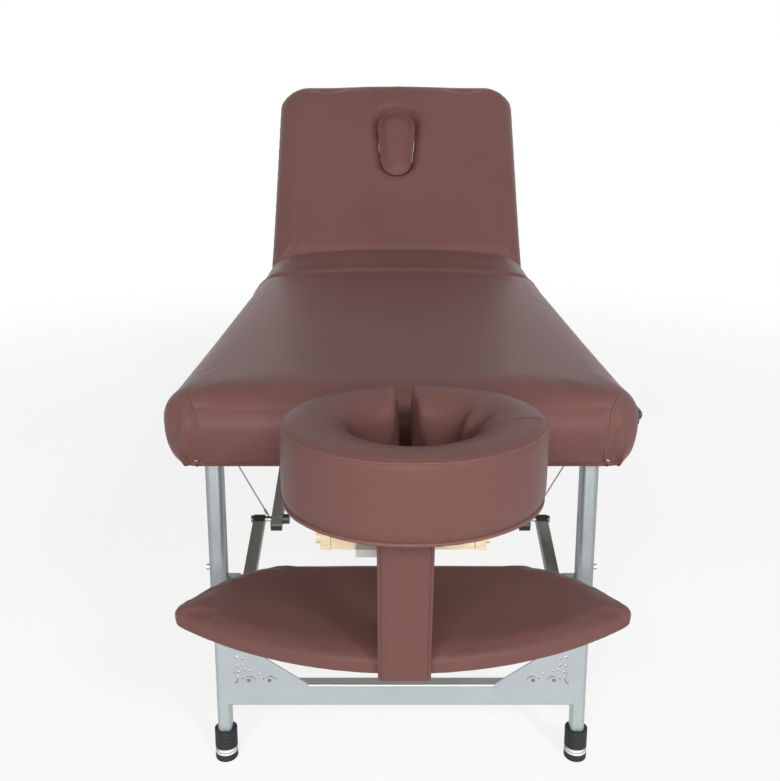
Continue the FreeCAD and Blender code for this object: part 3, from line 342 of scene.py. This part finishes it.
def crown(p, start, full, lip, fold):
    # the foam stands a little prouder than its board towards the fold, and rolls down into it
    above = ramp(p[:, 2], deck_top, deck_top + 0.020)
    edge = ramp(p[:, 1], lip, fold) ** 2
    rise = 0.018 * ramp(p[:, 1], start, full) * (1 - 0.4 * (p[:, 0] / rail_x) ** 4)
    p[:, 2] += above * (rise - 0.011 * edge)
    p[:, 0] *= 1 - 0.012 * edge * ((above > 0) | (np.abs(p[:, 0]) > rail_x + 0.004))


near_top = upholster("near_top", "near_half", ["near_pad", "near_skirt"], voxel=0.006, swell=0.006,
                     held=lambda p: on_frame(p) | (p[:, 1] > fold_y - 0.006), ease=8)
p = points(near_top)
tuck(p)
outside = p[:, 1] < rail_end - 0.004
end = np.where(outside, 1 - ramp(p[:, 1], near_end + 0.02, near_end + 0.10), 0)
# the end face is a barrel, set back at its foot and swollen at mid height, with a groove at each dart
face_middle = 0.588
face_half = 0.068
barrel = 0.0125 * ((p[:, 2] - face_middle) / face_half) ** 2
setback = 0.004 * (1 - ramp(p[:, 2], rail_low, rail_low + 0.060))
swelling = 0.006 * np.exp(-((p[:, 2] - 0.600) / 0.035) ** 2)
dart_foot = 0.3215
dart_x = dart_foot + 0.0125 * ramp(p[:, 2], 0.600, 0.650)
groove = 0.0035 * np.exp(-((np.abs(p[:, 0]) - dart_x) / 0.006) ** 2)
p[:, 1] += end * (barrel + setback - swelling + groove)
crown(p, start=near_end + 0.12, full=fold_y - 0.05, lip=fold_y - 0.030, fold=fold_y)
fill_out(p)
# the lower corners are drawn in round, as far back as the latch
round_top = 0.584
round_height = 0.054
below = np.clip((round_top - p[:, 2]) / round_height, 0, 1)
drawn = (1 - np.sqrt(1 - below ** 2)) * (1 - ramp(p[:, 1], near_end + 0.025, near_end + 0.085))
overhang = np.maximum(np.abs(p[:, 0]) - rail_x - 0.002, 0)
p[:, 0] -= np.sign(p[:, 0]) * overhang * 0.95 * drawn
move(near_top, p)


def sweep(name, path, outs, section, closed=False):
    # a mesh along a path, its section given across and out from the surface it lies on
    shape = bmesh.new()
    rings = []
    count = len(path)
    for i, here in enumerate(path):
        ahead = path[(i + 1) % count] if closed else path[min(i + 1, count - 1)]
        along = (ahead - path[i - 1 if closed else max(i - 1, 0)]).normalized()
        across = along.cross(outs[i]).normalized()
        out = across.cross(along)
        rings.append([shape.verts.new(here + across * a + out * b) for a, b in section])
    for one, two in zip(rings, rings[1:] + rings[:1] if closed else rings[1:]):
        for k in range(len(section)):
            shape.faces.new((one[k], one[k - 1], two[k - 1], two[k]))
    if not closed:
        shape.faces.new(rings[0])
        shape.faces.new(rings[-1])
    bmesh.ops.recalc_face_normals(shape, faces=shape.faces)
    mesh = bpy.data.meshes.new(name)
    shape.to_mesh(mesh)
    shape.free()
    mesh.polygons.foreach_set("use_smooth", [True] * len(mesh.polygons))
    piece = bpy.data.objects.new(name, mesh)
    scene.collection.objects.link(piece)
    return piece


def smooth_line(route, closed=False):
    # points along the NURBS line that a route's points control
    curve = bpy.data.curves.new("route", "CURVE")
    curve.dimensions = "3D"
    line = curve.splines.new("NURBS")
    line.points.add(len(route) - 1)
    for point, place in zip(line.points, route):
        point.co = (*place, 1)
    line.order_u = 3
    line.use_endpoint_u = not closed
    line.use_cyclic_u = closed
    line.resolution_u = 8
    guide = bpy.data.objects.new("route", curve)
    scene.collection.objects.link(guide)
    run = bpy.data.meshes.new_from_object(guide.evaluated_get(bpy.context.evaluated_depsgraph_get()))
    path = [vertex.co.copy() for vertex in run.vertices]
    bpy.data.objects.remove(guide)
    bpy.data.curves.remove(curve)
    bpy.data.meshes.remove(run)
    return path


def round_section(radius, sides):
    turns = np.linspace(0, math.tau, sides, endpoint=False)
    return [(radius * math.cos(a), radius * math.sin(a)) for a in turns]


def seam(name, over, route, thick, rise, closed=False):
    # a sewn ridge laid on a soft piece, along a route near its surface
    corners = [vertex.co for vertex in over.data.vertices]
    skin = BVHTree.FromPolygons(corners, [polygon.vertices for polygon in over.data.polygons])
    path = []
    outs = []
    for place in smooth_line(route, closed):
        spot, out = skin.find_nearest(place)[:2]
        path.append(spot + out * rise)
        outs.append(out)
    for turn in range(6):
        free = range(len(path)) if closed else range(1, len(path) - 1)
        path = [path[i] * 0.5 + (path[i - 1] + path[(i + 1) % len(path)]) * 0.25 if i in free else path[i]
                for i in range(len(path))]
    piece = sweep(name, path, outs, round_section(thick, 8), closed)
    dress(piece, seam_vinyl_painted_highlight)
    return piece


# painted highlight: the seams get the cover's vinyl painted lighter, for the light along each sewn ridge
seam_vinyl_painted_highlight = vinyl("seam_vinyl_painted_highlight", (0.10, 0.043, 0.038), (0.190, 0.095, 0.086))
for side, sign in (("left", -1), ("right", 1)):
    dart = seam("near_dart_" + side, near_top, [(sign * x, near_end + y, z) for x, y, z in (
        (dart_foot, 0.004, 0.533), (dart_foot, -0.010, 0.555), (dart_foot, -0.010, 0.590),
        (0.3225, -0.006, 0.615), (0.326, 0.006, 0.636), (0.333, 0.022, 0.646),
        (0.343, 0.045, 0.644))], thick=0.0016, rise=0.0002)
    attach(dart, "near_half")

# Seat part of the far half: the same foam and vinyl, on that half's deck and rails.
# It is pushed up in a roll where the raised back bears on it.
far_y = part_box("seat_pad")[0].y
seat_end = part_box("seat_pad")[1].y
seat_top = upholster("seat_top", "far_half", ["seat_pad", "seat_skirt_left", "seat_skirt_right"],
                     voxel=0.006, swell=0.006,
                     held=lambda p: on_frame(p) | (p[:, 1] < far_y + 0.006), ease=8)
p = points(seat_top)
tuck(p)
crown(p, start=far_y - 1, full=far_y, lip=far_y + 0.030, fold=far_y)
fill_out(p)
roll = ramp(p[:, 1], far_y + 0.02, seat_end - 0.060)
roll *= 1 - ramp(p[:, 1], seat_end - 0.050, seat_end - 0.004)
roll *= (1 - (p[:, 0] / 0.365) ** 6).clip(0)
p[:, 2] += ramp(p[:, 2], deck_top, deck_top + 0.020) * 0.020 * roll
narrowing = 1 - 0.016 * ramp(p[:, 1], seat_end - 0.09, seat_end)
p[:, 0] *= np.where(np.abs(p[:, 0]) > rail_x + 0.004, narrowing, 1)
move(seat_top, p)

# Lifting back: a foam pad glued to its board, with a breath opening near the top end.
# A loose plug of the same foam and vinyl fills the opening.
hinge = next(j for j in frame["joints"] if j["name"] == "back_lift")
back_angle = math.radians(51.4)
back_place = np.array(Matrix.Translation(hinge["pos_m"]) @ Matrix.Rotation(back_angle, 4, "X"))
to_back = np.linalg.inv(back_place)
wide_round = 0.057
narrow_round = 0.044
round_pitch = 0.125
wide_y = 0.495


def laid_flat(p):
    # places on the back as they are when it lies flat, measured from its hinge
    return p @ to_back[:3, :3].T + to_back[:3, 3]


def raised(p):
    return p @ back_place[:3, :3].T + back_place[:3, 3]


def from_opening(p):
    # distance outside the breath opening's edge: a wide and a narrow round joined by straight sides
    x = np.abs(p[:, 0])
    y = wide_y - p[:, 1]
    lean = (wide_round - narrow_round) / round_pitch
    upright = math.sqrt(1 - lean * lean)
    down = y * upright - x * lean
    straight = x * upright + y * lean - wide_round
    wide = np.hypot(x, y) - wide_round
    narrow = np.hypot(x, y - round_pitch) - narrow_round
    return np.where(down < 0, wide, np.where(down > upright * round_pitch, narrow, straight))


back_top = upholster("back_top", "back", ["back_pad"], voxel=0.006, swell=0.007,
                     held=lambda p: laid_flat(p)[:, 2] < 0.016, ease=8)
p = laid_flat(points(back_top))
gap = from_opening(p)
upper_face = ramp(p[:, 2], 0.030, 0.044)
rim = 0.004 * np.exp(-((gap - 0.028) / 0.018) ** 2)
dip = 0.013 * np.exp(-(gap.clip(0) / 0.011) ** 2)
p[:, 2] += upper_face * (rim - dip)
move(back_top, raised(p))
plug_top = upholster("plug_top", "plug", ["breath_plug"], voxel=0.004, swell=0.003,
                     held=lambda p: laid_flat(p)[:, 2] < 0.040, ease=4)
p = laid_flat(points(plug_top))
p[:, 2] += ramp(p[:, 2], 0.040, 0.048) * (0.008 * ramp(-from_opening(p), 0.002, 0.040) - 0.008)
move(plug_top, raised(p))

# Face cushion: a thick ring of soft foam, open at the far side, in panels of vinyl sewn over it.
# A cord is sewn round its top edge and a welt round its foot; hook tape holds it on the platform.
ring_lo, ring_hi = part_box("cradle_cushion")
ring_turn = math.radians(5)
ring_place = np.array(Matrix.Translation((0.012, near_end - 0.195, 0)) @ Matrix.Rotation(ring_turn, 4, "Z"))
to_ring = np.linalg.inv(ring_place)
hole_wide = 0.076
hole_deep = 0.066
face_ring = upholster("face_ring", "platform", ["cradle_cushion"], voxel=0.005, swell=0.007,
                      held=lambda p: p[:, 2] < ring_lo.z + 0.004, ease=8)
p = points(face_ring) @ to_ring[:3, :3].T + to_ring[:3, 3]
bearing = np.degrees(np.arctan2(p[:, 1] / hole_deep, p[:, 0] / hole_wide))
reach = np.hypot(p[:, 0] / hole_wide, p[:, 1] / hole_deep)
fold = np.exp(-((bearing - 27) / 8) ** 2) - 0.6 * np.exp(-((bearing - 10) / 7) ** 2)
p[:, :2] *= 1 + (0.14 * ramp(p[:, 1], -0.010, 0.040) * (1 - ramp(reach, 1.0, 1.7)))[:, None]
p[:, :2] *= 1 - (0.11 * fold * (1 - ramp(reach, 1.05, 1.6)))[:, None]
waist = np.exp(-((p[:, 2] - ring_lo.z - 0.010) / 0.006) ** 2)
p[:, :2] *= 1 - (0.012 * waist * ramp(reach, 1.5, 1.8))[:, None]
move(face_ring, p @ ring_place[:3, :3].T + ring_place[:3, 3])


def on_ring(x, y, z):
    return Vector(ring_place[:3, :3] @ (x, y, 0) + ring_place[:3, 3]) + Vector((0, 0, z))


def round_ring(wide, deep, z):
    # once round the cushion, from one side of its gap to the other
    turns = np.radians(np.linspace(99, 441, 60))
    return [on_ring(wide * math.cos(t), deep * math.sin(t), z) for t in turns]


across = [on_ring(x, -0.020, ring_hi.z + rise) for x, rise in (
    (0.168, -0.012), (0.160, 0), (0.148, 0.004), (0.132, 0.004), (0.116, 0), (0.102, -0.012))]
top_edge = round_ring(0.171, 0.144, ring_hi.z - 0.004)
foot_edge = round_ring(0.174, 0.147, ring_lo.z + 0.003)
for cord in (seam("face_cord", face_ring, top_edge, thick=0.0014, rise=0.0),
             seam("face_welt", face_ring, foot_edge, thick=0.0026, rise=0.0005),
             seam("face_join", face_ring, across, thick=0.0010, rise=0.0002)):
    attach(cord, "platform")

# Arm shelf: a lens of thin foam on a board, for the forearms of someone lying face down.
# The same vinyl is wrapped round it and stapled under the board.
shelf_lo, shelf_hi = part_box("arm_shelf")
upholster("arm_rest", "shelf", ["arm_shelf"], voxel=0.005, swell=0.005,
          held=lambda p: p[:, 2] < shelf_lo.z + 0.004, ease=6)

# Straps: folded vinyl 70 mm wide, stitched along both edges; they hang the shelf from the platform.
# The front one runs in under the shelf's edge, the rear one under its board.
strap_vinyl = vinyl("strap_vinyl", gloss=0.38)
tree = strap_vinyl.node_tree
place = Grain(tree, tree.nodes.new("ShaderNodeTexCoord").outputs["Object"])
shader = tree.nodes["Principled BSDF"]
stitch_line = 0.0308
from_line = (place.axis(0).size() - stitch_line).size()
steps = place.axis(2) * 1570.0
stitch = (1 - from_line.band(0.0004, 0.0008)) * steps.calc("SINE", steps).band(-0.2, 0.1)
plain = Grain(tree, shader.inputs["Base Color"].links[0].from_socket)
feed(shader, "Base Color", stitch.mix(plain, rgba((0.055, 0.024, 0.022))))
half_band = [(0.0150, 0.0024), (0.0290, 0.0020), (0.0301, 0.0012), (0.0315, 0.0012), (0.0325, 0.0020),
             (0.0345, 0.0018), (0.0350, 0.0012), (0.0350, -0.0012)]
band = [(-x, y) for x, y in reversed(half_band)] + half_band + [(0.0345, -0.0018), (-0.0345, -0.0018)]
board_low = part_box("shelf_board")[0].z
front = shelf_lo.y - 0.002
rear = shelf_hi.y + 0.003


def strap(name, node, route):
    path = smooth_line([(0, y, z) for y, z in route])
    outs = []
    for i, here in enumerate(path):
        along = path[min(i + 1, len(path) - 1)] - path[max(i - 1, 0)]
        outs.append(Vector((0, along.z, -along.y)))
    piece = sweep(name, path, outs, band)
    dress(piece, strap_vinyl)
    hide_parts(node)
    return piece


under_shelf = shelf_lo.z - 0.002
front_band = strap("front_band", "front_strap", [
    (near_end - 0.298, 0.5635), (near_end - 0.295, 0.545), (front - 0.009, 0.44), (front - 0.001, 0.395),
    (front, 0.375), (front, 0.365), (front, 0.353), (front, under_shelf), (front + 0.006, under_shelf),
    (front + 0.030, under_shelf), (front + 0.058, under_shelf)])
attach(front_band, "shelf")
under_board = board_low - 0.002
rear_band = strap("rear_band", "rear_strap", [
    (near_end - 0.064, 0.5655), (near_end - 0.047, 0.5655), (near_end - 0.034, 0.558),
    (near_end - 0.027, 0.535), (near_end - 0.022, 0.490), (rear - 0.010, 0.44), (rear, 0.395), (rear, 0.367),
    (rear, 0.355), (rear, board_low + 0.003), (rear, under_board), (rear - 0.009, under_board),
    (rear - 0.033, under_board), (rear - 0.063, under_board)])
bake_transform(rear_band)

# Stay cables: three-strand steel wire, from the knee of each brace up to its leg bracket.
# A ferrule is crimped on near each end. The lay is the length of one turn of a strand.
cable_steel, shader, place = finish("cable_steel", (0.46, 0.46, 0.46), 0.34, metallic=0.9)
rubbed = place.noise(300.0, 3.0)
feed(shader, "Base Color", rubbed.mix(rgba((0.26, 0.26, 0.27)), rgba((0.52, 0.52, 0.52))))
feed(shader, "Roughness", 0.26 + rubbed * 0.16)
lay = 0.011
step = 0.0012
off_middle = 0.00075
strand_section = round_section(0.0007, 6)
for half in ("near", "far"):
    for side in ("left", "right"):
        node = "%s_cable_%s" % (half, side)
        lo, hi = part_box(node)
        inner, outer = (hi.x, lo.x) if side == "left" else (lo.x, hi.x)
        low_y, high_y = (hi.y, lo.y) if half == "near" else (lo.y, hi.y)
        knee = Vector((inner, low_y, lo.z))
        eyelet = Vector((outer, high_y, hi.z))
        along = (eyelet - knee).normalized()
        one = along.orthogonal().normalized()
        two = along.cross(one)
        length = (eyelet - knee).length
        wire = bmesh.new()
        for start in (0, math.tau / 3, 2 * math.tau / 3):
            turns = [start + math.tau * s / lay for s in np.arange(0, length, step)]
            path = [knee + along * step * i + (one * math.cos(t) + two * math.sin(t)) * off_middle
                    for i, t in enumerate(turns)]
            strand = sweep("strand", path, [one] * len(path), strand_section)
            wire.from_mesh(strand.data)
            bpy.data.objects.remove(strand)
        turn = along.to_track_quat("Z", "Y").to_matrix().to_4x4()
        for middle in (0.016, length - 0.016):
            bmesh.ops.create_cone(wire, cap_ends=True, segments=16, radius1=0.0022, radius2=0.0022,
                                  depth=0.012, matrix=Matrix.Translation(knee + along * middle) @ turn)
        mesh = bpy.data.meshes.new(half + "_stay_" + side)
        wire.to_mesh(mesh)
        wire.free()
        stay = bpy.data.objects.new(half + "_stay_" + side, mesh)
        scene.collection.objects.link(stay)
        dress(stay, cable_steel)
        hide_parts(node)
        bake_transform(stay)

# Plywood: lacquered birch for the rails, decks, back board, cradle parts and shelf board.
# The boards are cut to shape, glued and screwed, and their cut edges show the plies.
ply, shader, place = finish("birch_ply", (0.66, 0.52, 0.34), 0.42)
figure = place.noise(5.0, 6.0, (9.0, 1.4, 60.0))
flecks = place.noise(60.0, 2.0, (9.0, 1.4, 60.0))
plies = place.node("ShaderNodeTexWave", {"wave_type": "BANDS", "bands_direction": "Z"},
                   {"Vector": place, "Scale": 105.0})
tone = figure * 0.7 + flecks * 0.2 + plies * 0.12
feed(shader, "Base Color", tone.band(0.2, 0.8).mix(rgba((0.56, 0.41, 0.24)), rgba((0.82, 0.70, 0.50))))
feed(shader, "Roughness", 0.36 + figure * 0.16)
emboss(shader, figure * 0.6 + flecks * 0.4, 0.0004)
for name in ("near_frame", "far_frame", "near_deck", "far_deck", "back_board", "cradle_slide",
             "cradle_platform", "shelf_board"):
    dress(frame["nodes"][name], ply)


# Legs: satin anodised tube with a drawn grain down its length.
# The upper tubes are the same anodising as the welded frame that slides in them, painted a little darker as
# painted shade from the top above them.
def anodised(name, low, high, nodes):
    material, shader, place = finish(name, high, 0.36, metallic=0.85)
    streaks = place.noise(1.0, 3.0, (900.0, 900.0, 9.0))
    bloom = place.noise(16.0)
    feed(shader, "Base Color", (streaks * 0.6 + bloom * 0.4).mix(rgba(low), rgba(high)))
    feed(shader, "Roughness", 0.32 + streaks * 0.12 + bloom * 0.08)
    emboss(shader, streaks, 0.00012)
    for node in nodes:
        dress(frame["nodes"][node], material)


# painted shade: the upper tubes get a darker copy of the lower frame's anodising
anodised("upper_tube_painted_shade", (0.25, 0.275, 0.285), (0.34, 0.37, 0.38),
         ["near_leg_upper_left", "near_leg_upper_right", "far_leg_upper_left", "far_leg_upper_right"])
anodised("lower_frame", (0.34, 0.375, 0.39), (0.46, 0.50, 0.515), ["near_leg_lower", "far_leg_lower"])


# Braces: grey coated tube, hinged to the leg and to the rod under the top.
# The knee has black end plugs, a black knob and a plated spacer.
def brace(name, nodes, plug, plated=None):
    # plug and plated give the black and the plated places from height and from distance to the middle
    coated, shader, place = finish(name, (0.15, 0.16, 0.155), 0.42, metallic=0.4)
    peel = place.noise(520.0, 2.0)
    haze = place.noise(22.0)
    paint = haze.mix(rgba((0.15, 0.16, 0.155)), rgba((0.21, 0.225, 0.22)))
    if plated:
        paint = plated(place.axis(2), place.axis(0).size()).mix(paint, rgba((0.55, 0.55, 0.54)))
    black = plug(place.axis(2), place.axis(0).size())
    feed(shader, "Base Color", black.mix(paint, rgba((0.012, 0.012, 0.013))))
    feed(shader, "Roughness", 0.36 + peel * 0.16)
    feed(shader, "Metallic", 0.4 - black * 0.4)
    emboss(shader, peel, 0.0002)
    for node in nodes:
        dress(frame["nodes"][node], coated)


for half in ("near", "far"):
    lo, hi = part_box(half + "_strut_lower_right")
    brace(half + "_lower_brace", [half + "_strut_lower_left", half + "_strut_lower_right"],
          lambda z, x: z.band(hi.z - 0.0050, hi.z - 0.0045),
          lambda z, x: 1 - x.band(lo.x + 0.0105, lo.x + 0.0110))
    lo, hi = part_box(half + "_strut_upper_right")
    brace(half + "_upper_brace", [half + "_strut_upper_left", half + "_strut_upper_right"],
          lambda z, x: (1 - z.band(lo.z + 0.0110, lo.z + 0.0115)).most(
              1 - x.band(lo.x + 0.0115, lo.x + 0.0120)))

# Feet: black rubber cup and tread, pushed onto the ends of the legs, with a pale band painted round the foot
# between them as a painted reflection.
# The rubber is moulded with fine ribs and is dusty.
rubber, shader, place = finish("foot_rubber", (0.012, 0.012, 0.014), 0.55, specular=0.3)
height = place.axis(2)
ribs = place.node("ShaderNodeTexWave", {"wave_type": "BANDS", "bands_direction": "Z"},
                  {"Vector": place, "Scale": 48.0})
dust = place.noise(120.0, 4.0)
# painted reflection: a pale band round the foot between the cup and the tread
painted_reflection_band = height.band(0.0112, 0.0122) * (1 - height.band(0.0192, 0.0202))
soot = dust.mix(rgba((0.008, 0.008, 0.010)), rgba((0.022, 0.022, 0.025)))
feed(shader, "Base Color", painted_reflection_band.mix(soot, rgba((0.62, 0.63, 0.63))))
feed(shader, "Roughness", 0.55 + dust * 0.2)
emboss(shader, ribs * (1 - painted_reflection_band), 0.0006)
for half in ("near", "far"):
    for side in ("left", "right"):
        dress(frame["nodes"]["%s_foot_%s" % (half, side)], rubber)

# Steel: zinc-plated brackets, rods, hinge leaves, prop and push buttons.
# The brackets and leaves are pressed from sheet and screwed to the rails.
zinc, shader, place = finish("zinc_steel", (0.44, 0.45, 0.46), 0.34, metallic=0.9)
spangle = place.node("ShaderNodeTexVoronoi", {"feature": "F1"}, {"Vector": place, "Scale": 160.0})
wipe = place.noise(60.0, 4.0)
tone = spangle * 0.5 + wipe * 0.5
feed(shader, "Base Color", tone.mix(rgba((0.34, 0.35, 0.36)), rgba((0.55, 0.56, 0.57))))
feed(shader, "Roughness", 0.26 + wipe * 0.2)
emboss(shader, wipe, 0.0001)
dress(frame["nodes"]["prop_bail"], zinc)
for half in ("near", "far"):
    for name in ("hinge_leaf", "brace_rod", "leg_bracket_left", "leg_bracket_right", "leg_button_left",
                 "leg_button_right"):
        dress(frame["nodes"]["%s_%s" % (half, name)], zinc)

# Moulded plastic: the black latch and the black sockets that the cradle's rods slide in.
# The cradle's lever is grey, with a grooved grip; its colour is darker in the grooves and lighter on the
# ridges, as painted shade and painted highlight.
black, shader, place = finish("black_plastic", (0.022, 0.022, 0.024), 0.42)
spark = place.noise(700.0, 2.0)
feed(shader, "Base Color", spark.mix(rgba((0.014, 0.014, 0.016)), rgba((0.034, 0.034, 0.036))))
feed(shader, "Roughness", 0.34 + spark * 0.2)
emboss(shader, spark, 0.0002)
for name in ("latch_hook", "latch_base", "latch_stud", "cradle_socket_left", "cradle_socket_right"):
    dress(frame["nodes"][name], black)
grey, shader, place = finish("grey_plastic", (0.52, 0.52, 0.50), 0.45)
spark = place.noise(500.0, 2.0)
grip_grooves_and_shade = place.node("ShaderNodeTexWave", {"wave_type": "BANDS", "bands_direction": "Y"},
                     {"Vector": place, "Scale": 70.0})
# painted shade and highlight: the grip's grooves darken the colour and its ridges lighten it
tone = spark * 0.5 + grip_grooves_and_shade * 0.5
feed(shader, "Base Color", tone.mix(rgba((0.36, 0.36, 0.35)), rgba((0.62, 0.62, 0.60))))
feed(shader, "Roughness", 0.38 + spark * 0.16)
emboss(shader, spark * 0.1 + grip_grooves_and_shade * 0.9, 0.0008)
dress(frame["nodes"]["cradle_lever"], grey)
